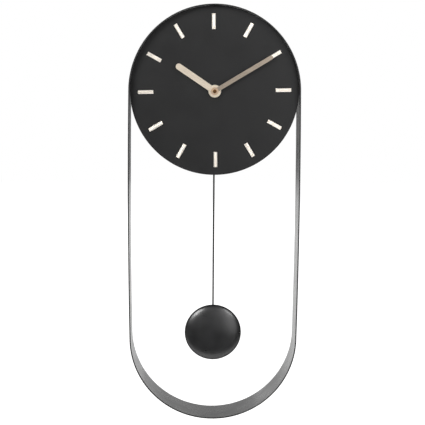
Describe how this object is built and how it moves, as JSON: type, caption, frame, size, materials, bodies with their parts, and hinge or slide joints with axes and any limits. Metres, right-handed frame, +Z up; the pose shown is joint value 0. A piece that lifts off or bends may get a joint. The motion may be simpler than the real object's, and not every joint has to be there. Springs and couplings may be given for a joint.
{
  "type": "pendulum wall clock",
  "caption": "Battery wall clock: a pill-shaped loop of flat steel strip holds a round dial in its top arc, and a rod pendulum with a round domed bob swings in the open loop below.",
  "frame": {"origin": "centre of the hanger bar's keyhole on the wall plane, at the back of the clock", "axes": "+Z up, -Y out of the dial towards the room, +X to the right seen from the front; the back edge lies on the wall plane Y = 0"},
  "size_m": [0.2024, 0.045, 0.495],
  "materials": {
    "band_steel": "satin charcoal lacquer over brushed steel strip",
    "bracket_steel": "black powder coat",
    "dial_black": "matt black lacquer",
    "mark_metal": "pale champagne, brushed and lacquered",
    "hand_brass": "brushed pale brass",
    "brass": "turned brass",
    "fixing_steel": "zinc plated",
    "case_plastic": "black moulded plastic",
    "gear_plastic": "natural white acetal",
    "gasket_rubber": "black rubber",
    "stator_steel": "soft iron lamination",
    "magnet": "nickel plated magnet",
    "copper": "enamelled copper winding",
    "battery_jacket": "plain printed-free jacket",
    "board": "green circuit board",
    "chip": "black resin blob",
    "crystal_can": "nickel can",
    "rod_black": "black lacquered wire",
    "bob_black": "satin black lacquer"
  },
  "bodies": {
    "root": {"band": "band_steel", "dial": "dial_black", "dial_studs": "fixing_steel", "stud_washers": "fixing_steel", "stud_nuts": "fixing_steel", "bracket_right": "bracket_steel", "bracket_top": "bracket_steel", "bracket_left": "bracket_steel", "hanger_bar": "bracket_steel", "hour_mark_01": "mark_metal", "hour_mark_02": "mark_metal", "hour_mark_03": "mark_metal", "hour_mark_04": "mark_metal", "hour_mark_05": "mark_metal", "hour_mark_06": "mark_metal", "hour_mark_07": "mark_metal", "hour_mark_08": "mark_metal", "hour_mark_09": "mark_metal", "hour_mark_10": "mark_metal", "hour_mark_11": "mark_metal", "hour_mark_12": "mark_metal", "movement_case": "case_plastic", "movement_cover": "case_plastic", "cover_screws": "fixing_steel", "centre_bush": "brass", "dial_gasket": "gasket_rubber", "bush_washer": "brass", "bush_nut": "brass", "gear_bridge": "case_plastic", "bridge_screws": "fixing_steel", "stator": "stator_steel", "motor_coil": "copper", "battery": "battery_jacket", "contact_positive": "fixing_steel", "contact_negative": "fixing_steel", "circuit_board": "board", "timing_chip": "chip", "quartz_crystal": "crystal_can", "pendulum_coil": "copper", "pivot_pin": "brass"},
    "minute": {"cannon_pinion": "gear_plastic", "minute_hand": "hand_brass", "centre_cap": "brass"},
    "hour": {"hour_wheel": "gear_plastic", "hour_hand": "hand_brass"},
    "minute_wheel_body": {"minute_wheel": "gear_plastic"},
    "knob": {"setting_knob": "case_plastic"},
    "centre": {"centre_wheel": "gear_plastic"},
    "third": {"third_wheel": "gear_plastic"},
    "fourth": {"fourth_wheel": "gear_plastic"},
    "fifth": {"fifth_wheel": "gear_plastic"},
    "rotor_body": {"rotor": "gear_plastic"},
    "pendulum": {"pendulum_leader": "gear_plastic", "drive_magnet": "magnet", "pendulum_rod": "rod_black", "bob_shell": "bob_black", "bob_back": "bob_black", "bob_clip": "rod_black"}
  },
  "joints": [
    {"name": "minute_turn", "type": "hinge", "parent": "root", "child": "minute", "pos_m": [0, -0.03, -0.062], "axis": [0, -1, 0], "continuous": true},
    {"name": "hour_turn", "type": "hinge", "parent": "root", "child": "hour", "pos_m": [0, -0.03, -0.062], "axis": [0, -1, 0], "continuous": true},
    {"name": "minute_wheel_turn", "type": "hinge", "parent": "root", "child": "minute_wheel_body", "pos_m": [-0.01128, -0.03, -0.0579], "axis": [0, -1, 0], "continuous": true},
    {"name": "knob_turn", "type": "hinge", "parent": "root", "child": "knob", "pos_m": [-0.01538, -0.03, -0.04662], "axis": [0, -1, 0], "continuous": true},
    {"name": "fourth_turn", "type": "hinge", "parent": "root", "child": "fourth", "pos_m": [0.0161, -0.03, -0.05539], "axis": [0, -1, 0], "continuous": true},
    {"name": "third_turn", "type": "hinge", "parent": "root", "child": "third", "pos_m": [0.00595, -0.03, -0.05169], "axis": [0, -1, 0], "continuous": true},
    {"name": "centre_turn", "type": "hinge", "parent": "root", "child": "centre", "pos_m": [0, -0.03, -0.062], "axis": [0, -1, 0], "continuous": true},
    {"name": "fifth_turn", "type": "hinge", "parent": "root", "child": "fifth", "pos_m": [0.01985, -0.03, -0.04889], "axis": [0, -1, 0], "continuous": true},
    {"name": "rotor_turn", "type": "hinge", "parent": "root", "child": "rotor_body", "pos_m": [0.01635, -0.03, -0.04283], "axis": [0, -1, 0], "continuous": true},
    {"name": "pendulum_swing", "type": "hinge", "parent": "root", "child": "pendulum", "pos_m": [0, -0.03, -0.098], "axis": [0, -1, 0], "range_deg": [-8, 8]}
  ],
  "couplings": [
    {"joint": "minute_wheel_turn", "follows": "minute_turn", "ratio": -0.33333},
    {"joint": "hour_turn", "follows": "minute_turn", "ratio": 0.083333},
    {"joint": "knob_turn", "follows": "minute_turn", "ratio": 1},
    {"joint": "third_turn", "follows": "fourth_turn", "ratio": -0.125},
    {"joint": "centre_turn", "follows": "fourth_turn", "ratio": 0.016667},
    {"joint": "fifth_turn", "follows": "fourth_turn", "ratio": -5},
    {"joint": "rotor_turn", "follows": "fourth_turn", "ratio": 30}
  ]
}
